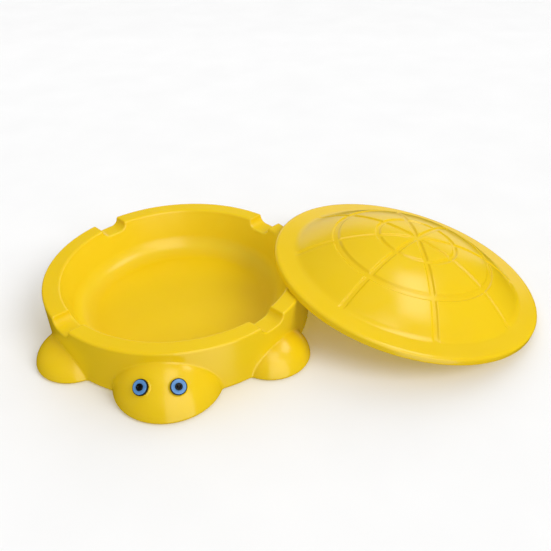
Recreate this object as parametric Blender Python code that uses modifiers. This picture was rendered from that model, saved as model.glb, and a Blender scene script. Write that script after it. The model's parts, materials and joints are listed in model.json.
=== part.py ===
"""Turtle-shaped sandbox with a loose domed lid.

The tub is one double-walled hollow moulding: a round tub with four arched notches in its flat rim, and
a head and four feet that swell out of its wall as low domes. A plug closes the vent in its underside.
Two button eyes are screwed to the head.
The lid is a single-skinned dome with a flat border and a down-turned edge. It leans on the tub: its
edge touches the rim at two places and the ground at one.

The frame has the ground at z = 0, the tub's axis along Z, the head towards -Y and the lid towards +X.
All sizes are in metres.
"""

import math

import bpy
from mathutils import Matrix, Vector

GAP = 0.0003
ROUND_STEPS = 48
WALL = 0.0035

# The tub
RIM_RADIUS = 0.480
RIM_HEIGHT = 0.194
BASE_RADIUS = 0.4775
RIM_EDGE = 0.008
BOTTOM_EDGE = 0.014
BOWL_RADIUS = 0.418
BOWL_FLOOR_RADIUS = 0.377
BOWL_FILLET = 0.088
FLOOR_HEIGHT = 0.024
BOWL_CUT_ABOVE = 0.02

# The arched notches in the rim
NOTCH_ANGLES = (-135.3, -46.6, 46.6, 135.3)
NOTCH_WIDTH = 0.100
NOTCH_DEPTH = 0.032
NOTCH_ROUND = 0.030
NOTCH_LENGTH = 0.12

# Head and feet: distance of the dome's axis from the tub's, its radius and its height
HEAD = (0.408, 0.183, 0.1747)
FOOT = (0.433, 0.1357, 0.1042)
FOOT_ANGLES = (-128.8, -51.2, 51.2, 128.8)

# The vent in the underside and its plug
VENT_PLACE = Vector((0.0, 0.25, 0.0))
VENT_RECESS_RADIUS = 0.022
VENT_RECESS_DEPTH = 0.005
VENT_RADIUS = 0.008
VENT_HOLE_TOP = 0.013
PLUG_FLANGE = 0.0028
PLUG_MARGIN = 0.004
PLUG_SNAP = 0.0012
PLUG_TOP = 0.007

# The eyes
EYE_SPACING = 0.1120
EYE_HEIGHT = 0.1116
EYE_RISE = 48.0
EYE_TURN = 25.0
EYE_RADIUS = 0.026
EYE_THICKNESS = 0.009
SEAT_RADIUS = 0.0275
SEAT_RISE = 0.0025
SEAT_DEPTH = 0.012
SEAT_CLEAR = 0.004
PILOT_DEPTH = 0.05
IRIS_RADIUS = 0.0232
IRIS_THICKNESS = 0.002
PUPIL_RADIUS = 0.0115
PUPIL_THICKNESS = 0.0036
SCREW_HEAD_RADIUS = 0.0046
SCREW_HEAD_HEIGHT = 0.0024
SCREW_RADIUS = 0.0021
SCREW_LENGTH = 0.020

# The lid
LID_RADIUS = 0.500
LID_EDGE_HEIGHT = 0.025
LID_EDGE_ROUND = 0.009
DOME_RADIUS = 0.4215
DOME_RISE = 0.1363
DOME_POWER = 2.35
BORDER_RISE = 0.0058
LID_REACH = 0.8414
LID_ANGLE = 3.35
LID_CLEARANCE = 0.0006
LID_STEPS = 64
DOME_STEPS = 10

YELLOW = (0.93, 0.68, 0.02, 1.0)
BLACK = (0.012, 0.012, 0.014, 1.0)
BLUE = (0.16, 0.38, 0.78, 1.0)
STEEL = (0.62, 0.62, 0.60, 1.0)


def clear_scene():
    for obj in list(bpy.data.objects):
        bpy.data.objects.remove(obj, do_unlink=True)


def new_collection(name):
    made = bpy.data.collections.new(name)
    bpy.context.scene.collection.children.link(made)
    return made


def material(name, colour, roughness, metallic=0.0):
    made = bpy.data.materials.new(name)
    made.use_nodes = True
    shader = made.node_tree.nodes["Principled BSDF"]
    shader.inputs["Base Color"].default_value = colour
    shader.inputs["Roughness"].default_value = roughness
    shader.inputs["Metallic"].default_value = metallic
    return made


def arc(centre, radius, start, end, count):
    """Points (r, z) on an arc, angles in degrees from the +r direction."""
    angles = [math.radians(start + (end - start) * i / count) for i in range(count + 1)]
    return [(centre[0] + radius * math.cos(a), centre[1] + radius * math.sin(a)) for a in angles]


def turned(name, profile, steps, collection):
    """A solid turned about Z. The profile runs from the axis out, down and back, or is a closed loop."""
    mesh = bpy.data.meshes.new(name)
    count = len(profile)
    edges = [(i, i + 1) for i in range(count - 1)]
    if profile[0][0] > 0:
        edges.append((count - 1, 0))
    mesh.from_pydata([(r, 0.0, z) for r, z in profile], edges, [])
    obj = bpy.data.objects.new(name, mesh)
    collection.objects.link(obj)
    screw = obj.modifiers.new("turn", "SCREW")
    screw.angle = math.tau
    screw.steps = steps
    screw.render_steps = steps
    screw.use_merge_vertices = True
    screw.merge_threshold = 0.00001
    return obj


def boolean(target, others, operation, name):
    """Joins or cuts the target with hidden helpers, all in one step. They stay editable."""
    group = bpy.data.collections.new(name)
    bpy.data.collections["helpers"].children.link(group)
    for other in others:
        other.hide_render = True
        other.display_type = "WIRE"
        for owner in list(other.users_collection):
            owner.objects.unlink(other)
        group.objects.link(other)
    step = target.modifiers.new(name, "BOOLEAN")
    step.operation = operation
    step.solver = "EXACT"
    step.operand_type = "COLLECTION"
    step.collection = group


def around_z(angle):
    """The turn that brings -Y to this angle, in degrees towards +X."""
    return Matrix.Rotation(math.radians(angle), 4, "Z")


def rounded_bar(name, length, width, height, edge, collection):
    """A bar along Y with its four long edges rounded, its middle at the origin."""
    bpy.ops.mesh.primitive_cube_add(size=1.0)
    bar = bpy.context.object
    bar.name = name
    bar.data.transform(Matrix.Diagonal((width, length, height, 1.0)))
    for owner in list(bar.users_collection):
        owner.objects.unlink(bar)
    collection.objects.link(bar)
    weights = bar.data.attributes.new("bevel_weight_edge", "FLOAT", "EDGE")
    for edge_of_bar in bar.data.edges:
        first, second = (bar.data.vertices[i].co for i in edge_of_bar.vertices)
        if abs(first.y - second.y) > length / 2:
            weights.data[edge_of_bar.index].value = 1.0
    bevel = bar.modifiers.new("round", "BEVEL")
    bevel.width = edge
    bevel.segments = 3
    bevel.limit_method = "WEIGHT"
    return bar


def drum_profile(inset):
    bottom = (BASE_RADIUS - BOTTOM_EDGE, BOTTOM_EDGE)
    top = (RIM_RADIUS - RIM_EDGE, RIM_HEIGHT - RIM_EDGE)
    return (
        [(0.0, RIM_HEIGHT - inset)]
        + arc(top, RIM_EDGE - inset, 90, 0, 2)
        + arc(bottom, BOTTOM_EDGE - inset, 0, -90, 3)
        + [(0.0, inset)]
    )


def bowl_profile(inset):
    """The bowl's leaning wall runs into its floor with one large fillet."""
    lean = math.atan((BOWL_RADIUS - BOWL_FLOOR_RADIUS) / (RIM_HEIGHT - FLOOR_HEIGHT))
    reach = math.tan(math.pi / 4 - lean / 2)
    rim = (BOWL_RADIUS + RIM_EDGE * reach, RIM_HEIGHT - RIM_EDGE)
    floor = (BOWL_FLOOR_RADIUS - BOWL_FILLET * reach, FLOOR_HEIGHT + BOWL_FILLET)
    above = RIM_HEIGHT + BOWL_CUT_ABOVE
    lean = math.degrees(lean)
    return (
        [(0.0, above), (rim[0], above)]
        + arc(rim, RIM_EDGE - inset, 90, 180 - lean, 2)
        + arc(floor, BOWL_FILLET + inset, -lean, -90, 8)
        + [(0.0, FLOOR_HEIGHT - inset)]
    )


def lobe_profile(radius, height, inset, count):
    """A quarter ellipse from the top of a dome down to a rounded lower edge."""
    start = math.asin(BOTTOM_EDGE / height)
    low = radius * math.cos(start)
    angles = [math.pi / 2 + (start - math.pi / 2) * i / count for i in range(count)]
    dome = [((radius - inset) * math.cos(a), (height - inset) * math.sin(a)) for a in angles]
    return dome + arc((low - BOTTOM_EDGE, BOTTOM_EDGE), BOTTOM_EDGE - inset, 0, -90, 2) + [(0.0, inset)]


def lobes(inset, tag, helpers):
    """The head and the four feet, as domes turned about their own upright axes."""
    places = [("head", 0.0, HEAD, 36, 8)]
    places += [(f"foot_{i}", angle, FOOT, 28, 6) for i, angle in enumerate(FOOT_ANGLES)]
    made = []
    for name, angle, (distance, radius, height), steps, count in places:
        lobe = turned(name + tag, lobe_profile(radius, height, inset, count), steps, helpers)
        lobe.matrix_world = around_z(angle) @ Matrix.Translation((0.0, -distance, 0.0))
        made.append(lobe)
    return made


def cuts(inset, tag, helpers):
    """The bowl, the rim's notches and the recess around the vent."""
    made = [turned("bowl" + tag, bowl_profile(inset), ROUND_STEPS, helpers)]
    size = (NOTCH_LENGTH, NOTCH_WIDTH + 2 * inset, 2 * (NOTCH_DEPTH + inset), NOTCH_ROUND + inset)
    for i, angle in enumerate(NOTCH_ANGLES):
        notch = rounded_bar(f"notch_{i}" + tag, *size, helpers)
        middle = (0.0, -(RIM_RADIUS + BOWL_RADIUS) / 2, RIM_HEIGHT)
        notch.matrix_world = around_z(angle) @ Matrix.Translation(middle)
        made.append(notch)
    recess_profile = cylinder(VENT_RECESS_RADIUS + inset, -0.01, VENT_RECESS_DEPTH + inset)
    recess = turned("vent_recess" + tag, recess_profile, 32, helpers)
    recess.location = VENT_PLACE
    return made + [recess]


def hollow_form(helpers):
    """The hollow between the two skins: the outer form drawn in by the wall's thickness."""
    form = turned("hollow", drum_profile(WALL), ROUND_STEPS, helpers)
    boolean(form, lobes(WALL, "_inner", helpers), "UNION", "lobes_inner")
    boolean(form, cuts(WALL, "_inner", helpers), "DIFFERENCE", "cuts_inner")
    return form


def cylinder(radius, low, high):
    return [(0.0, high), (radius, high), (radius, low), (0.0, low)]


def tube(outer, inner, low, high, edge):
    """The closed profile of a ring with a rounded upper outer edge."""
    top = arc((outer - edge, high - edge), edge, 90, 0, 2)
    return [(inner, low), (inner, high)] + top + [(outer, low)]


def eye_frame(side):
    """Where an eye sits: on the head's dome, its axis turned outwards and up. side is -1 or 1."""
    distance, radius, height = HEAD
    across = EYE_SPACING / 2
    forward = radius * math.sqrt(1 - (across / radius) ** 2 - (EYE_HEIGHT / height) ** 2)
    rise, turn = math.radians(EYE_RISE), math.radians(EYE_TURN)
    axis = Vector((side * math.sin(turn) * math.cos(rise), -math.cos(turn) * math.cos(rise),
                   math.sin(rise)))
    place = Vector((side * across, -distance - forward, EYE_HEIGHT)) + axis * SEAT_RISE
    return Matrix.Translation(place) @ axis.to_track_quat("Z", "Y").to_matrix().to_4x4()


def make_tub(parts, helpers):
    """The moulding: drum, head, feet and eye seats joined, then all its openings and its hollow cut."""
    shell = turned("tub_shell", drum_profile(0.0), ROUND_STEPS, parts)
    joined = lobes(0.0, "_outer", helpers)
    cut = cuts(0.0, "_outer", helpers)
    for name, side in (("left", -1), ("right", 1)):
        seat = turned(f"seat_{name}", cylinder(SEAT_RADIUS, -SEAT_DEPTH, 0.0), 32, helpers)
        face = turned(f"seat_face_{name}", cylinder(SEAT_RADIUS + SEAT_CLEAR, 0.0, 0.02), 32, helpers)
        pilot = turned(f"pilot_{name}", cylinder(SCREW_RADIUS + GAP, -PILOT_DEPTH, 0.01), 16, helpers)
        seat.matrix_world = face.matrix_world = pilot.matrix_world = eye_frame(side)
        joined.append(seat)
        cut += [face, pilot]
    vent = turned("vent_hole", cylinder(VENT_RADIUS, -0.01, VENT_HOLE_TOP), 24, helpers)
    vent.location = VENT_PLACE
    boolean(shell, joined, "UNION", "joined")
    boolean(shell, cut + [hollow_form(helpers), vent], "DIFFERENCE", "cut")
    return shell


def make_vent_plug(parts):
    """A flange under the vent with a stem that widens into a snap-in collar above the skin."""
    skin_top = VENT_RECESS_DEPTH + WALL
    flange_top = VENT_RECESS_DEPTH - GAP
    flange_bottom = flange_top - PLUG_FLANGE
    flange = VENT_RECESS_RADIUS - PLUG_MARGIN
    stem = VENT_RADIUS - GAP
    profile = [
        (0.0, skin_top + PLUG_TOP),
        (stem - 0.003, skin_top + PLUG_TOP),
        (stem + PLUG_SNAP, skin_top + 0.002),
        (stem + PLUG_SNAP, skin_top + GAP),
        (stem, skin_top + GAP),
        (stem, flange_top),
        (flange, flange_top),
        (flange, flange_bottom + 0.001),
        (flange - 0.001, flange_bottom),
        (0.0, flange_bottom),
    ]
    plug = turned("vent_plug", profile, 24, parts)
    plug.location = VENT_PLACE
    return plug


def make_eye(name, side, parts):
    """Base disc, iris disc, pupil cap and the screw under it, each a gap apart along the eye's axis."""
    place = eye_frame(side)
    base_top = GAP + EYE_THICKNESS
    iris_bottom = base_top + GAP
    iris_top = iris_bottom + IRIS_THICKNESS
    pupil_bottom = iris_top + GAP
    pupil_top = pupil_bottom + PUPIL_THICKNESS
    hole = SCREW_RADIUS + GAP
    recess = SCREW_HEAD_RADIUS + GAP
    head_top = base_top + GAP + SCREW_HEAD_HEIGHT
    base = turned(f"eye_base_{name}", tube(EYE_RADIUS, hole, GAP, base_top, 0.003), 28, parts)
    iris = turned(f"eye_iris_{name}", tube(IRIS_RADIUS, recess, iris_bottom, iris_top, 0.001), 28, parts)
    pupil_profile = [(0.0, pupil_top)]
    pupil_profile += arc((PUPIL_RADIUS - 0.0015, pupil_top - 0.0018), 0.0015, 90, 0, 2)
    pupil_profile += [
        (PUPIL_RADIUS, pupil_bottom),
        (recess, pupil_bottom),
        (recess, head_top + GAP),
        (0.0, head_top + GAP),
    ]
    pupil = turned(f"eye_pupil_{name}", pupil_profile, 24, parts)
    tip = head_top - SCREW_LENGTH
    screw_profile = [(0.0, head_top)]
    screw_profile += arc((SCREW_HEAD_RADIUS - 0.001, head_top - 0.001), 0.001, 90, 0, 2)
    screw_profile += [
        (SCREW_HEAD_RADIUS, base_top + GAP),
        (SCREW_RADIUS, base_top + GAP),
        (SCREW_RADIUS, tip + 0.004),
        (0.0, tip),
    ]
    screw = turned(f"eye_screw_{name}", screw_profile, 12, parts)
    for piece in (base, iris, pupil, screw):
        piece.matrix_world = place
    return base, iris, pupil, screw


def resting_tilt():
    """The lid's tilt when its edge rests on the ground and on the outer edge of the tub's rim."""
    edge = LID_RADIUS - WALL
    low, high = math.radians(4.0), math.radians(30.0)
    for _ in range(50):
        tilt = (low + high) / 2
        sine, cosine = math.sin(tilt), math.cos(tilt)
        a = -(edge * sine) ** 2
        b = 2 * LID_REACH * edge * cosine
        c = LID_REACH**2 + edge**2 - RIM_RADIUS**2
        crossing = -2 * c / (b + math.sqrt(b * b - 4 * a * c))
        if (LID_RADIUS - edge * crossing) * sine > RIM_HEIGHT:
            high = tilt
        else:
            low = tilt
    return tilt


def lid_frame():
    tilt = resting_tilt()
    middle = (LID_REACH, 0.0, LID_RADIUS * math.sin(tilt) + LID_CLEARANCE)
    about_tub = around_z(LID_ANGLE)
    return about_tub @ Matrix.Translation(middle) @ Matrix.Rotation(tilt, 4, "Y")


def dome_height(radius):
    """Height of the lid's upper skin above the plane of its lower edge, inside the border."""
    return LID_EDGE_HEIGHT + BORDER_RISE + DOME_RISE * (1 - (radius / DOME_RADIUS) ** DOME_POWER)


def make_lid(parts):
    radii = [DOME_RADIUS * i / DOME_STEPS for i in range(DOME_STEPS + 1)]
    skin = [(r, dome_height(r)) for r in radii]
    edge = (LID_RADIUS - LID_EDGE_ROUND, LID_EDGE_HEIGHT - LID_EDGE_ROUND)
    profile = skin + arc(edge, LID_EDGE_ROUND, 90, 0, 3) + [(LID_RADIUS, 0.0), (LID_RADIUS - WALL, 0.0)]
    profile += arc(edge, LID_EDGE_ROUND - WALL, 0, 90, 2)
    profile += [(r, z - WALL) for r, z in reversed(skin)]
    lid = turned("lid_shell", profile, LID_STEPS, parts)
    lid.matrix_world = lid_frame()
    return lid


def main():
    clear_scene()
    parts = new_collection("turtle_sandbox")
    helpers = new_collection("helpers")
    yellow = material("yellow_polyethylene", YELLOW, 0.28)
    black = material("black_plastic", BLACK, 0.25)
    blue = material("blue_plastic", BLUE, 0.3)
    steel = material("zinc_plated_steel", STEEL, 0.35, 1.0)
    finishes = [(make_tub(parts, helpers), yellow), (make_lid(parts), yellow)]
    finishes.append((make_vent_plug(parts), black))
    for name, side in (("left", -1), ("right", 1)):
        finishes += zip(make_eye(name, side, parts), (black, blue, black, steel))
    for obj, finish in finishes:
        obj.data.materials.append(finish)


main()
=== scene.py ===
"""Looks of the turtle-shaped sandbox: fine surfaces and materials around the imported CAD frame.

The tub is drawn from one distance function: drum, head and feet joined with small fillets, then the bowl,
the rim's notches and the vent cut out. The lid is a polar sheet with its shell pattern pressed in. The
eyes are turned pieces. Lengths are in metres, and directions in degrees from -Y towards +X.
"""

import json
import math

import bpy
import numpy as np
from mathutils import Matrix, Vector


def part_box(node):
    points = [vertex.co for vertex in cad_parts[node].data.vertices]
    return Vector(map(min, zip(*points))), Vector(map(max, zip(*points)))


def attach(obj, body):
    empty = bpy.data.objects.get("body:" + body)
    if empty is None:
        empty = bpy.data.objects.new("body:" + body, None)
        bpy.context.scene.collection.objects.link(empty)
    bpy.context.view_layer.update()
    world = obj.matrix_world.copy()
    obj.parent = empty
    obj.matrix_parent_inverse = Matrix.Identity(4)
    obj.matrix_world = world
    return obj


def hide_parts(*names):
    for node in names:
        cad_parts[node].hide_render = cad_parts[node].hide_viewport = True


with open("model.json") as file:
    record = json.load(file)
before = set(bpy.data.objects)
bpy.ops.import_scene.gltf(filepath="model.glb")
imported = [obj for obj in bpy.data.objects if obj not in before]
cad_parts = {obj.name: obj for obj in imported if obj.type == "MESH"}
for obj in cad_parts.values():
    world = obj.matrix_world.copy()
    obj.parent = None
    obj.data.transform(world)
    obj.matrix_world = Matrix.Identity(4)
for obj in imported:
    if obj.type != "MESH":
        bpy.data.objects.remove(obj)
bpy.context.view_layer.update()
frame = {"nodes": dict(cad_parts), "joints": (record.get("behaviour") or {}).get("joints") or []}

# The tub
RIM_RADIUS = 0.480
RIM_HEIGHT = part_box("tub_shell")[1].z
BASE_RADIUS = 0.4775
RIM_EDGE = 0.008
BOTTOM_EDGE = 0.014
BOWL_RADIUS = 0.418
BOWL_FLOOR_RADIUS = 0.377
BOWL_FILLET = 0.088
FLOOR_HEIGHT = 0.024

# The notches in its rim
NOTCH_ANGLES = (-135.3, -46.6, 46.6, 135.3)
NOTCH_WIDTH = 0.100
NOTCH_DEPTH = 0.032
NOTCH_ROUND = 0.028
NOTCH_EDGE = 0.006
NOTCH_INNER_END = 0.3

# Head and feet: distance of the dome's axis from the tub's, its radius and its height
HEAD = (0.408, 0.183, 0.1747)
FOOT = (0.433, 0.1357, 0.1042)
FOOT_ANGLES = (-128.8, -51.2, 51.2, 128.8)
CREASE = 0.005

# The eyes' seats on the head: a round platform, with the space above and just around it cleared
SEAT_RADIUS = 0.0275
SEAT_DEPTH = 0.012
SEAT_FILLET = 0.003
SEAT_MARGIN = 0.003
SEAT_HEADROOM = 0.03
SEAT_EDGE = 0.001

# The vent in the underside
VENT_RECESS_RADIUS = 0.022
VENT_RECESS_DEPTH = 0.005
VENT_RADIUS = 0.008
VENT_HOLE_TOP = VENT_RECESS_DEPTH + 0.011
BELOW_GROUND = -0.1

# The tub's mesh
GRID_STEP = 0.0035
GRID_MARGIN = 0.012
GRID_LAYERS_AT_ONCE = 24
RELAX_ROUNDS = 2

# The lid
WALL = 0.0035
LID_RADIUS = 0.4993
LID_EDGE_HEIGHT = 0.025
LID_EDGE_ROUND = 0.009
DOME_RADIUS = 0.4215
DOME_RISE = 0.1363
DOME_POWER = 2.35
BORDER_RISE = 0.0058
BORDER_BLEND = 0.009

# Its shell pattern: each ring groove is (radius, width)
GROOVE_DEPTH = 0.0058
GROOVE_WALL = 0.0080
RING_GROOVES = ((0.1440, 0.016), (0.2895, 0.021))
SPOKES = 8
SPOKE_WIDTH_INNER = 0.015
SPOKE_WIDTH_OUTER = 0.019

# The lid's mesh: fine steps across each spoke, each ring's two edges and the border, coarse ones between
SPOKE_REACH = 6.5
SPOKE_STEPS = 56
SECTOR_STEPS = 26
RADIUS_STEPS = 150
RING_REACH = 0.006
RING_STEPS = 9
BORDER_REACH = 0.012
BORDER_STEPS = 17
SMALLEST_STEP = 0.0004
INNERMOST_OUTSIDE = 0.004
INNERMOST_INSIDE = 0.002

# The camera
CAMERA_LENS = 42.47
CAMERA_SENSOR = 36.0
CAMERA_PLACE = (0.36649, -1.96779, 1.51533)
CAMERA_TARGET = (0.35435, 0.20822, 0.0)
CAMERA_ROLL = -1.17
CAMERA_RANGE = (0.05, 50.0)

# The studio
FLOOR_SIZE = 40.0
FLOOR_DROP = 0.001
SURROUND_STRENGTH = 0.72
SUN_HEIGHT = 3.0

# Where the noise textures' values lie, for ramps with a soft and with a crisp change
SOFT = (0.3, 0.7)
CRISP = (0.35, 0.65)


def round_max(a, b, radius):
    """The cut of two solids with the edge between them rounded."""
    u, v = np.maximum(radius + a, 0.0), np.maximum(radius + b, 0.0)
    return np.minimum(-radius, np.maximum(a, b)) + np.sqrt(u * u + v * v)


def round_min(a, b, radius):
    """The union of two solids with the crease between them filleted."""
    u, v = np.maximum(radius - a, 0.0), np.maximum(radius - b, 0.0)
    return np.maximum(radius, np.minimum(a, b)) - np.sqrt(u * u + v * v)


def drum(r, z):
    """The tub without its bowl: a wall that leans out a little, and a rounded rim."""
    slope = (RIM_RADIUS - BASE_RADIUS) / RIM_HEIGHT
    wall = r - (BASE_RADIUS + slope * z)
    return round_max(wall, z - RIM_HEIGHT, RIM_EDGE)


def bowl(r, z):
    """The air in the bowl: its leaning wall runs into its floor with one large fillet."""
    lean = math.atan((BOWL_RADIUS - BOWL_FLOOR_RADIUS) / (RIM_HEIGHT - FLOOR_HEIGHT))
    wall = (r - BOWL_FLOOR_RADIUS) * math.cos(lean) - (z - FLOOR_HEIGHT) * math.sin(lean)
    straight = np.maximum(wall, FLOOR_HEIGHT - z)
    outwards = r - BOWL_FLOOR_RADIUS + BOWL_FILLET * math.tan(math.pi / 4 - lean / 2)
    down = FLOOR_HEIGHT + BOWL_FILLET - z
    in_corner = (outwards > 0) & (down > outwards * math.tan(lean))
    return np.where(in_corner, np.hypot(outwards, down) - BOWL_FILLET, straight)


def along(x, y, angle):
    """Coordinates (across, outwards) seen along a direction."""
    a = math.radians(angle)
    return x * math.cos(a) + y * math.sin(a), x * math.sin(a) - y * math.cos(a)


def lobe(x, y, z, angle, sizes):
    """A dome whose plan is a circle, for the head and the feet."""
    distance, radius, height = sizes
    across, outwards = along(x, y, angle)
    outwards = outwards - distance
    plan = across**2 + outwards**2
    k0 = np.sqrt(plan / radius**2 + (z / height) ** 2)
    k1 = np.sqrt(plan / radius**4 + z**2 / height**4) + 1e-9
    return k0 * (k0 - 1) / k1


def notch(x, y, z, angle):
    """The air in one of the rim's notches."""
    across, outwards = along(x, y, angle)
    gap = round_max(np.abs(across) - NOTCH_WIDTH / 2, RIM_HEIGHT - NOTCH_DEPTH - z, NOTCH_ROUND)
    return np.maximum(gap, NOTCH_INNER_END - outwards)


def upright_cylinder(x, y, z, place, radius, low, high):
    across = np.sqrt((x - place[0]) ** 2 + (y - place[1]) ** 2) - radius
    return np.maximum(across, np.maximum(low - z, z - high))


def tub_distance(x, y, z):
    """Signed distance, nearly, to the tub's surface: below zero inside."""
    r = np.sqrt(x * x + y * y)
    d = drum(r, z)
    d = round_min(d, lobe(x, y, z, 0.0, HEAD), CREASE)
    for angle in FOOT_ANGLES:
        d = round_min(d, lobe(x, y, z, angle, FOOT), CREASE)
    d = round_max(d, -z, BOTTOM_EDGE)
    for centre, axis in EYES.values():
        px, py, pz = x - centre[0], y - centre[1], z - centre[2]
        up = px * axis[0] + py * axis[1] + pz * axis[2]
        across = np.sqrt(np.maximum(px * px + py * py + pz * pz - up * up, 0.0)) - SEAT_RADIUS
        seat = np.maximum(np.maximum(across, up), -SEAT_DEPTH - up)
        cleared = np.maximum(np.maximum(across - SEAT_MARGIN, -up), up - SEAT_HEADROOM)
        d = round_min(d, seat, SEAT_FILLET)
        d = round_max(d, -cleared, SEAT_EDGE)
    d = round_max(d, -bowl(r, z), RIM_EDGE)
    for angle in NOTCH_ANGLES:
        d = round_max(d, -notch(x, y, z, angle), NOTCH_EDGE)
    recess = upright_cylinder(x, y, z, VENT_PLACE, VENT_RECESS_RADIUS, BELOW_GROUND, VENT_RECESS_DEPTH)
    hole = upright_cylinder(x, y, z, VENT_PLACE, VENT_RADIUS, BELOW_GROUND, VENT_HOLE_TOP)
    return np.maximum(np.maximum(d, -recess), -hole)


def gradient(distance, points, step=0.0002):
    """Unit normals of a distance function at many points."""
    slopes = []
    for axis in range(3):
        offset = np.zeros(3)
        offset[axis] = step
        slopes.append(distance(*(points + offset).T) - distance(*(points - offset).T))
    normals = np.stack(slopes, axis=1)
    return normals / np.maximum(np.linalg.norm(normals, axis=1, keepdims=True), 1e-12)


def edge_crossings(values, axis):
    """Grid edges along an axis whose ends lie on opposite sides of the surface.

    Returns each edge's index, the place of the surface along it, and whether it starts inside.
    """
    a = np.moveaxis(values, axis, 0)
    found = np.nonzero((a[:-1] < 0) != (a[1:] < 0))
    low, high = a[:-1][found], a[1:][found]
    index = np.stack(found, axis=1)
    order = np.argsort([axis] + [i for i in range(3) if i != axis])
    return index[:, order], low / (low - high), low < 0


def surface_net(distance, low, high, step):
    """Quads around the zero level of a distance function, one vertex in each cell that it crosses."""
    counts = np.ceil((np.array(high) - low) / step).astype(int) + 1
    axes = [low[i] + step * np.arange(counts[i]) for i in range(3)]
    values = np.empty(counts, np.float32)
    for start in range(0, counts[0], GRID_LAYERS_AT_ONCE):
        layers = slice(start, start + GRID_LAYERS_AT_ONCE)
        values[layers] = distance(*np.meshgrid(axes[0][layers], axes[1], axes[2], indexing="ij"))
    total = int(np.prod(counts))
    sums, hits, quads = np.zeros((total, 3)), np.zeros(total), []
    strides = np.array([counts[1] * counts[2], counts[2], 1])
    for axis in range(3):
        index, fraction, starts_inside = edge_crossings(values, axis)
        place = index.astype(float)
        place[:, axis] += fraction
        flat = index @ strides
        b, c = (axis + 1) % 3, (axis + 2) % 3
        around = [0, strides[b], strides[b] + strides[c], strides[c]]
        cells = np.stack([flat - offset for offset in around], axis=1)
        for column in cells.T:
            hits += np.bincount(column, minlength=total)
            for i in range(3):
                sums[:, i] += np.bincount(column, weights=place[:, i], minlength=total)
        quads.append(np.where(starts_inside[:, None], cells, cells[:, ::-1]))
    quads = np.concatenate(quads)
    used = np.nonzero(hits)[0]
    renumber = np.zeros(total, int)
    renumber[used] = np.arange(len(used))
    points = sums[used] / hits[used, None] * step + np.array(low)
    return points, renumber[quads]


def relaxed(distance, points, quads, rounds):
    """Puts the points on the surface, then spreads them evenly over it in a number of rounds."""
    ends = np.concatenate([quads[:, [i, (i + 1) % 4]] for i in range(4)])
    degree = np.bincount(ends[:, 0], minlength=len(points))[:, None]
    for i in range(rounds + 1):
        if i:
            sums = [np.bincount(ends[:, 0], weights=points[ends[:, 1], k], minlength=len(points))
                    for k in range(3)]
            points = 0.5 * points + 0.5 * np.stack(sums, axis=1) / degree
        for _ in range(2):
            points = points - distance(*points.T)[:, None] * gradient(distance, points)
    return points


def mesh_object(name, points, faces, normals=None):
    mesh = bpy.data.meshes.new(name)
    mesh.from_pydata([tuple(p) for p in points], [], [tuple(f) for f in faces])
    mesh.shade_smooth()
    if normals is not None:
        mesh.normals_split_custom_set_from_vertices([tuple(n) for n in normals])
    obj = bpy.data.objects.new(name, mesh)
    bpy.context.scene.collection.objects.link(obj)
    return obj


def recolour(node, finish):
    """Gives a CAD node that is kept as it is a better material."""
    frame["nodes"][node].data.materials.clear()
    frame["nodes"][node].data.materials.append(finish)


def node_points(name):
    mesh = frame["nodes"][name].data
    points = np.empty(len(mesh.vertices) * 3, np.float32)
    mesh.vertices.foreach_get("co", points)
    return points.reshape(-1, 3).astype(float)


def box_middle(points):
    return (points.max(axis=0) + points.min(axis=0)) / 2


def eye_places():
    """For each eye: the middle of its base's lower face, and its axis."""
    places = {}
    for side in ("left", "right"):
        base = box_middle(node_points(f"eye_base_{side}"))
        axis = box_middle(node_points(f"eye_pupil_{side}")) - base
        axis /= np.linalg.norm(axis)
        heights = (node_points(f"eye_base_{side}") - base) @ axis
        places[side] = (base + axis * heights.min(), axis)
    return places


def make_tub():
    low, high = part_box("tub_shell")
    low, high = np.array(low) - GRID_MARGIN, np.array(high) + GRID_MARGIN
    points, quads = surface_net(tub_distance, low, high, GRID_STEP)
    points = relaxed(tub_distance, points, quads, RELAX_ROUNDS)
    tub = mesh_object("tub_skin", points, quads, gradient(tub_distance, points))
    tub.data.materials.append(tub_yellow)
    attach(tub, "tub")
    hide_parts("tub_shell")


def smooth_step(value, low, high):
    t = np.clip((value - low) / (high - low), 0.0, 1.0)
    return t * t * (3 - 2 * t)


def smooth_max(a, b, width):
    h = np.maximum(width - np.abs(a - b), 0.0) / width
    return np.maximum(a, b) + h * h * width / 4


def press(distance, width):
    """Depth of a groove at a distance from its middle line."""
    return GROOVE_DEPTH * (1 - smooth_step(distance, (width - GROOVE_WALL) / 2, (width + GROOVE_WALL) / 2))


def groove_depth(r, angle):
    """How deep the shell pattern is pressed in: two rings, and spokes that widen outwards."""
    depth = np.zeros_like(r)
    for radius, width in RING_GROOVES:
        depth = np.maximum(depth, press(np.abs(r - radius), width))
    sector = 2 * math.pi / SPOKES
    off = np.mod(angle + sector / 2, sector) - sector / 2
    width = SPOKE_WIDTH_INNER + (SPOKE_WIDTH_OUTER - SPOKE_WIDTH_INNER) * r / DOME_RADIUS
    return np.maximum(depth, press(np.abs(r * np.sin(off)), width))


def lid_height(r, angle):
    """Height of the lid's upper skin above the plane of its lower edge."""
    dome = BORDER_RISE + DOME_RISE * (1 - (r / DOME_RADIUS) ** DOME_POWER)
    border = BORDER_RISE * (LID_RADIUS - r) / (LID_RADIUS - DOME_RADIUS)
    pressed = dome - groove_depth(r, angle)
    return LID_EDGE_HEIGHT + smooth_max(pressed, border, BORDER_BLEND)


def dome_slope(r):
    """How steeply the dome falls at a distance from the lid's axis. The border counts as level."""
    if r >= DOME_RADIUS:
        return 0.0
    return DOME_RISE * DOME_POWER / DOME_RADIUS * (r / DOME_RADIUS) ** (DOME_POWER - 1)


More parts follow.
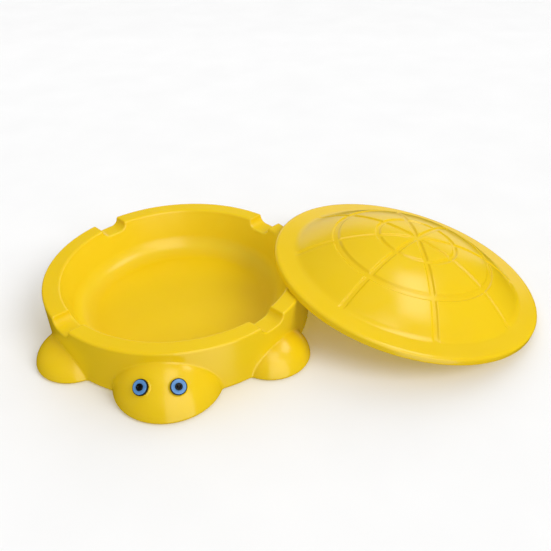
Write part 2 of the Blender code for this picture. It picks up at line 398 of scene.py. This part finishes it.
def lid_angles():
    """Directions round the lid, closer together across each spoke."""
    sector = 2 * math.pi / SPOKES
    reach = math.radians(SPOKE_REACH)
    across = np.linspace(-1, 1, SPOKE_STEPS)
    across = reach * (0.35 * across + 0.65 * across**3)
    coarse = np.linspace(reach, sector - reach, SECTOR_STEPS + 2)[1:-1]
    one = np.concatenate([across, coarse])
    return np.concatenate([one + sector * i for i in range(SPOKES)])


def lid_radii():
    """Distances from the lid's axis, closer together across each ring's edges and at the border."""
    radii = [np.linspace(INNERMOST_OUTSIDE, LID_RADIUS - LID_EDGE_ROUND, RADIUS_STEPS)]
    for radius, width in RING_GROOVES:
        for edge in (radius - width / 2, radius + width / 2):
            radii.append(np.linspace(edge - RING_REACH, edge + RING_REACH, RING_STEPS))
    radii.append(np.linspace(DOME_RADIUS - BORDER_REACH, DOME_RADIUS + BORDER_REACH, BORDER_STEPS))
    merged = np.sort(np.concatenate(radii))
    return merged[np.concatenate([[True], np.diff(merged) > SMALLEST_STEP])]


def lid_edge():
    """The section (r, z) over the down-turned edge: its round, its lip and the inside of its round."""
    round_angles = np.radians(np.linspace(80, 0, 9))
    lip_angles = np.radians(np.linspace(0, -180, 7))
    round_r, round_z = LID_RADIUS - LID_EDGE_ROUND, LID_EDGE_HEIGHT - LID_EDGE_ROUND
    lip, inner = WALL / 2, LID_EDGE_ROUND - WALL
    r = [round_r + LID_EDGE_ROUND * np.cos(round_angles),
         LID_RADIUS - lip + lip * np.cos(lip_angles),
         round_r + inner * np.cos(round_angles[::-1])]
    z = [round_z + LID_EDGE_ROUND * np.sin(round_angles),
         lip + lip * np.sin(lip_angles),
         round_z + inner * np.sin(round_angles[::-1])]
    return zip(np.concatenate(r), np.concatenate(z))


def make_lid():
    """The lid's sheet, ring by ring: outwards over its upper skin, round its edge and back inside."""
    angles, radii = lid_angles(), lid_radii()
    every = np.ones_like(angles)
    rings = [(r * every, lid_height(r * every, angles)) for r in radii]
    rings += [(r * every, z * every) for r, z in lid_edge()]
    for r in radii[::-1]:
        slope = dome_slope(r)
        length = math.hypot(1.0, slope)
        inside = max(r - WALL * slope / length, INNERMOST_INSIDE)
        rings.append((inside * every, lid_height(r * every, angles) - WALL / length))
    points = [np.stack([r * np.cos(angles), r * np.sin(angles), z], axis=1) for r, z in rings]
    points = np.concatenate(points)
    n, m = len(rings), len(angles)
    first = (np.arange(n - 1)[:, None] * m + np.arange(m)).reshape(-1)
    following = (np.arange(n - 1)[:, None] * m + (np.arange(m) + 1) % m).reshape(-1)
    quads = np.stack([first, first + m, following + m, following], axis=1)
    caps = [tuple(range(m)), tuple(range((n - 1) * m, n * m))[::-1]]
    lid = mesh_object("lid_skin", points, [tuple(q) for q in quads] + caps)
    lid.data.transform(lid_place())
    lid.data.materials.append(yellow)
    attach(lid, "lid")
    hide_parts("lid_shell")


def lid_place():
    """The lid's own frame: its lower edge's middle, its axis, and X pointing downhill."""
    axis = Vector(frame["joints"][0]["axis"]).normalized()
    points = node_points("lid_shell")
    heights = points @ np.array(axis)
    middle = Vector(box_middle(points[heights < heights.min() + 0.0005]))
    downhill = (Vector((0.0, 0.0, -1.0)) + axis * axis.z).normalized()
    sideways = axis.cross(downhill)
    return Matrix.Translation(middle) @ Matrix((downhill, sideways, axis)).transposed().to_4x4()


def lathe(name, profile, place, steps=96):
    """A piece turned about the Z axis of its place. The profile (r, z) starts and ends on the axis."""
    turns = np.arange(steps) * 2 * math.pi / steps
    points = [(r * math.cos(t), r * math.sin(t), z) for r, z in profile[1:-1] for t in turns]
    faces = []
    for i in range(len(profile) - 3):
        for j in range(steps):
            a, b = i * steps + j, i * steps + (j + 1) % steps
            faces.append((a, a + steps, b + steps, b))
    top, bottom = len(points), len(points) + 1
    points += [(0.0, 0.0, profile[0][1]), (0.0, 0.0, profile[-1][1])]
    last = (len(profile) - 3) * steps
    faces += [(top, j, (j + 1) % steps) for j in range(steps)]
    faces += [(bottom, last + (j + 1) % steps, last + j) for j in range(steps)]
    piece = mesh_object(name, points, faces)
    piece.data.transform(place)
    return piece


def arc(centre, radius, start, end, count):
    angles = [math.radians(start + (end - start) * i / count) for i in range(count + 1)]
    return [(centre[0] + radius * math.cos(a), centre[1] + radius * math.sin(a)) for a in angles]


def eye_profiles():
    """Half sections (r, z) from the seat up, each from its top on the axis to its underside."""
    base = [(0.0, 0.0085)] + [(0.0215, 0.0085)] + arc((0.0245, 0.0075), 0.0015, 90, 0, 4)
    base += [(0.026, 0.003)] + arc((0.025, 0.001), 0.001, 0, -90, 3) + [(0.0, 0.0)]
    iris = [(0.0, 0.0102), (0.0110, 0.0102), (0.0122, 0.0108), (0.0200, 0.0113)]
    iris += arc((0.0220, 0.0103), 0.0010, 90, 0, 4) + [(0.0232, 0.0087), (0.0, 0.0087)]
    pupil = [(0.0, 0.0128), (0.0040, 0.0129), (0.0048, 0.0136), (0.0056, 0.0144)]
    pupil += [(0.0068, 0.0147), (0.0088, 0.0146)] + arc((0.0098, 0.0131), 0.0015, 80, 0, 4)
    pupil += [(0.0115, 0.0104), (0.0, 0.0104)]
    return base, iris, pupil


def make_eyes():
    """Each eye: a black button, a light-blue disc let into it and a black pupil with a turned ring."""
    base, iris, pupil = eye_profiles()
    kinds = (("base", base, black, "black_plastic"),
             ("iris", iris, blue, "blue_plastic"),
             ("pupil", pupil, black, "black_plastic"))
    for side, (centre, axis) in EYES.items():
        turn = Vector(axis).to_track_quat("Z", "Y").to_matrix().to_4x4()
        place = Matrix.Translation(Vector(centre)) @ turn
        for kind, profile, finish, slot in kinds:
            piece = lathe(f"eye_{kind}_{side}_fine", profile, place)
            piece.data.materials.append(finish)
            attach(piece, "tub")
            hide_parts(f"eye_{kind}_{side}")
        recolour(f"eye_screw_{side}", steel)


def grey(value):
    return (value, value, value, 1.0)


def new_material(name):
    """A new material with its node tree, its shader and its object coordinates."""
    made = bpy.data.materials.new(name)
    made.use_nodes = True
    tree = made.node_tree
    return made, tree, tree.nodes["Principled BSDF"], tree.nodes.new("ShaderNodeTexCoord").outputs["Object"]


def feed(tree, socket, value):
    """Links another node's output to a socket, or sets the socket to a plain value."""
    if isinstance(value, (float, tuple)):
        socket.default_value = value
    else:
        tree.links.new(value, socket)


def noise(tree, coordinates, scale, detail):
    node = tree.nodes.new("ShaderNodeTexNoise")
    node.inputs["Scale"].default_value = scale
    node.inputs["Detail"].default_value = detail
    feed(tree, node.inputs["Vector"], coordinates)
    return node.outputs["Fac"]


def ramp(tree, value, low, high, span):
    """A colour that goes from low to high as value crosses a span."""
    node = tree.nodes.new("ShaderNodeValToRGB")
    for element, position, colour in zip(node.color_ramp.elements, span, (low, high)):
        element.position = position
        element.color = colour
    feed(tree, node.inputs["Fac"], value)
    return node.outputs["Color"]


def bump(tree, shader, layers):
    """Stacks bumps: each layer is (height, distance in metres, strength)."""
    previous = None
    for height, distance, strength in layers:
        node = tree.nodes.new("ShaderNodeBump")
        node.inputs["Distance"].default_value = distance
        node.inputs["Strength"].default_value = strength
        feed(tree, node.inputs["Height"], height)
        if previous is not None:
            feed(tree, node.inputs["Normal"], previous)
        previous = node.outputs["Normal"]
    feed(tree, shader.inputs["Normal"], previous)


def between(tree, value, low, high):
    """A mask that rises from 0 to 1 as value goes from low to high."""
    node = tree.nodes.new("ShaderNodeMapRange")
    node.interpolation_type = "SMOOTHSTEP"
    node.inputs["From Min"].default_value = low
    node.inputs["From Max"].default_value = high
    feed(tree, node.inputs["Value"], value)
    return node.outputs["Result"]


def calculate(tree, operation, first, second):
    """A maths node whose inputs are other nodes' outputs or plain numbers."""
    node = tree.nodes.new("ShaderNodeMath")
    node.operation = operation
    for socket, value in zip(node.inputs, (first, second)):
        feed(tree, socket, value)
    return node.outputs["Value"]


def blend(tree, mask, first, second):
    """Goes from the first colour to the second as the mask rises."""
    node = tree.nodes.new("ShaderNodeMix")
    node.data_type = "RGBA"
    feed(tree, node.inputs["Factor"], mask)
    colours = [socket for socket in node.inputs if socket.type == "RGBA"]
    for socket, value in zip(colours, (first, second)):
        feed(tree, socket, value)
    return [socket for socket in node.outputs if socket.type == "RGBA"][0]


def bowl_wall(tree, place):
    """A mask over the bowl's wall, uneven in patches: where a lighter colour is painted as painted sheen,
    standing in for reflected light.
    """
    edge_blend, floor_blend = 0.006, 0.030
    parts = tree.nodes.new("ShaderNodeSeparateXYZ")
    feed(tree, parts.inputs["Vector"], place)
    x, y, z = (parts.outputs[axis] for axis in "XYZ")
    squares = calculate(tree, "ADD", calculate(tree, "POWER", x, 2.0), calculate(tree, "POWER", y, 2.0))
    distance = calculate(tree, "SQRT", squares, 0.0)
    near = between(tree, distance, BOWL_RADIUS + edge_blend, BOWL_RADIUS - edge_blend)
    above = between(tree, z, FLOOR_HEIGHT, FLOOR_HEIGHT + floor_blend)
    patches = noise(tree, place, scale=14.0, detail=5.0)
    uneven = calculate(tree, "ADD", calculate(tree, "MULTIPLY", patches, 0.5), 0.5)
    return calculate(tree, "MULTIPLY", calculate(tree, "MULTIPLY", near, above), uneven)


def moulded_plastic(name, painted_sheen=None):
    """The tub's and lid's yellow polyethylene.

    It has a slight colour drift, an uneven gloss, soft waves and orange peel. The colour given for the
    bowl's wall is a lighter yellow painted there as painted sheen, standing in for reflected light; that
    wall is also made rougher.
    """
    roughness, glossiest, dullest = 0.24, 0.80, 1.09
    made, tree, shader, place = new_material(name)
    drift = noise(tree, place, scale=2.2, detail=3.0)
    colour = ramp(tree, drift, (0.82, 0.545, 0.004, 1.0), (0.86, 0.585, 0.006, 1.0), SOFT)
    gloss = noise(tree, place, scale=26.0, detail=4.0)
    finish = ramp(tree, gloss, grey(roughness * glossiest), grey(roughness * dullest), SOFT)
    if painted_sheen is not None:
        # Painted sheen: the bowl's wall gets a lighter colour in uneven patches, standing in for reflected
        # light
        mask = bowl_wall(tree, place)
        colour = blend(tree, mask, colour, painted_sheen)
        finish = blend(tree, mask, finish, grey(roughness * dullest))
    feed(tree, shader.inputs["Base Color"], colour)
    feed(tree, shader.inputs["Roughness"], finish)
    shader.inputs["Specular IOR Level"].default_value = 0.5
    shader.inputs["Subsurface Weight"].default_value = 0.08
    shader.inputs["Subsurface Radius"].default_value = (1.0, 0.55, 0.1)
    shader.inputs["Subsurface Scale"].default_value = 0.006
    waves = noise(tree, place, scale=9.0, detail=1.0)
    peel = noise(tree, place, scale=420.0, detail=2.0)
    bump(tree, shader, [(waves, 0.0014, 0.3), (peel, 0.00005, 0.15)])
    return made


def trim_plastic(name, dark, light, specular):
    """The eyes' small mouldings and the plug: nearly even in colour and gloss, with a fine grain."""
    roughness, glossiest, dullest = 0.22, 0.8, 1.2
    made, tree, shader, place = new_material(name)
    shader.inputs["Specular IOR Level"].default_value = specular
    drift = noise(tree, place, scale=60.0, detail=3.0)
    feed(tree, shader.inputs["Base Color"], ramp(tree, drift, dark, light, CRISP))
    gloss = noise(tree, place, scale=300.0, detail=3.0)
    finish = ramp(tree, gloss, grey(roughness * glossiest), grey(roughness * dullest), SOFT)
    feed(tree, shader.inputs["Roughness"], finish)
    grain = noise(tree, place, scale=900.0, detail=2.0)
    bump(tree, shader, [(grain, 0.00004, 0.4)])
    return made


def plated_steel(name):
    made, tree, shader, place = new_material(name)
    shader.inputs["Metallic"].default_value = 1.0
    drift = noise(tree, place, scale=250.0, detail=4.0)
    feed(tree, shader.inputs["Base Color"], ramp(tree, drift, grey(0.5), grey(0.68), SOFT))
    feed(tree, shader.inputs["Roughness"], ramp(tree, drift, grey(0.29), grey(0.42), SOFT))
    return made


def make_camera():
    """The viewing angle: from the front and above, a little to the lid's side."""
    data = bpy.data.cameras.new("camera")
    data.sensor_width = CAMERA_SENSOR
    data.lens = CAMERA_LENS
    data.clip_start, data.clip_end = CAMERA_RANGE
    camera = bpy.data.objects.new("camera", data)
    bpy.context.scene.collection.objects.link(camera)
    look = (Vector(CAMERA_TARGET) - Vector(CAMERA_PLACE)).normalized()
    turn = look.to_track_quat("-Z", "Y").to_matrix().to_4x4()
    roll = Matrix.Rotation(math.radians(CAMERA_ROLL), 4, "Z")
    camera.matrix_world = Matrix.Translation(Vector(CAMERA_PLACE)) @ turn @ roll
    bpy.context.scene.camera = camera


def new_light(name, kind, place, towards):
    """A light at a place that shines along a direction, seen by no camera."""
    data = bpy.data.lights.new(name, kind)
    light = bpy.data.objects.new(name, data)
    bpy.context.scene.collection.objects.link(light)
    light.location = place
    light.rotation_mode = "QUATERNION"
    light.rotation_quaternion = Vector(towards).to_track_quat("-Z", "Y")
    light.visible_camera = False
    return light


def soft_box(name, place, target, size, brightness):
    """A large panel that only shows as a reflection in glossy surfaces."""
    light = new_light(name, "AREA", place, Vector(target) - Vector(place))
    light.data.shape = "RECTANGLE"
    light.data.size, light.data.size_y = size
    light.data.energy = brightness * math.pi * size[0] * size[1]
    light.visible_diffuse = False
    light.data.cycles.max_bounces = 1


def even_light(name, azimuth, elevation, strength, spread):
    """Soft light from one direction, which shows in no reflection."""
    a, e = math.radians(azimuth), math.radians(elevation)
    away = (-math.sin(a) * math.cos(e), math.cos(a) * math.cos(e), -math.sin(e))
    light = new_light(name, "SUN", (0.0, 0.0, SUN_HEIGHT), away)
    light.data.energy = strength
    light.data.angle = math.radians(spread)
    light.visible_glossy = False


def make_floor():
    """A pale floor that reaches far behind the object. It lights nothing and shows in no reflection."""
    bpy.ops.mesh.primitive_plane_add(size=FLOOR_SIZE, location=(0.0, 0.0, -FLOOR_DROP))
    floor = bpy.context.object
    floor.name = "studio_floor"
    made, tree, shader, place = new_material("studio_floor")
    mottle = noise(tree, place, scale=3.0, detail=2.0)
    feed(tree, shader.inputs["Base Color"], ramp(tree, mottle, grey(0.88), grey(0.90), SOFT))
    shader.inputs["Roughness"].default_value = 0.9
    shader.inputs["Specular IOR Level"].default_value = 0.1
    floor.data.materials.append(made)
    floor.visible_glossy = False
    floor.visible_diffuse = False


def make_surround():
    """An even white surround, which shows in no reflection."""
    world = bpy.data.worlds.new("studio")
    world.use_nodes = True
    background = world.node_tree.nodes["Background"]
    background.inputs["Color"].default_value = grey(1.0)
    background.inputs["Strength"].default_value = SURROUND_STRENGTH
    bpy.context.scene.world = world
    world.cycles_visibility.glossy = False
    bpy.context.scene.view_settings.view_transform = "Standard"


def make_lights():
    even_light("key", azimuth=54.0, elevation=38.0, strength=1.35, spread=30.0)
    even_light("top", azimuth=20.0, elevation=78.0, strength=0.12, spread=60.0)
    even_light("rear", azimuth=165.0, elevation=42.0, strength=0.40, spread=60.0)
    soft_box("front_panel", (1.35, -3.2, 0.3), (0.0, -0.3, 0.3), size=(3.0, 6.4), brightness=2.0)
    soft_box("high_panel", (0.75, -1.9, 3.1), (0.75, -0.3, 0.15), size=(1.6, 1.9), brightness=2.0)
    soft_box("side_panel", (1.7, 0.05, 2.2), (0.84, 0.05, 0.2), size=(1.4, 0.8), brightness=3.5)
    soft_box("back_panel", (0.4, 3.9, 0.75), (0.4, 0.0, 0.75), size=(8.0, 2.1), brightness=0.65)


VENT_PLACE = box_middle(node_points("vent_plug"))
EYES = eye_places()
yellow = moulded_plastic("lid_plastic")
# The lighter colour for the bowl's wall is painted sheen, standing in for reflected light
tub_yellow = moulded_plastic("tub_plastic", painted_sheen=(0.87, 0.635, 0.016, 1.0))
black = trim_plastic("black_plastic", grey(0.004), grey(0.008), specular=0.2)
blue = trim_plastic("blue_plastic", (0.09, 0.245, 0.52, 1.0), (0.12, 0.29, 0.60, 1.0), specular=0.35)
steel = plated_steel("screw_steel")
make_camera()
make_floor()
make_surround()
make_lights()
make_tub()
make_lid()
make_eyes()
recolour("vent_plug", black)
bpy.context.view_layer.update()
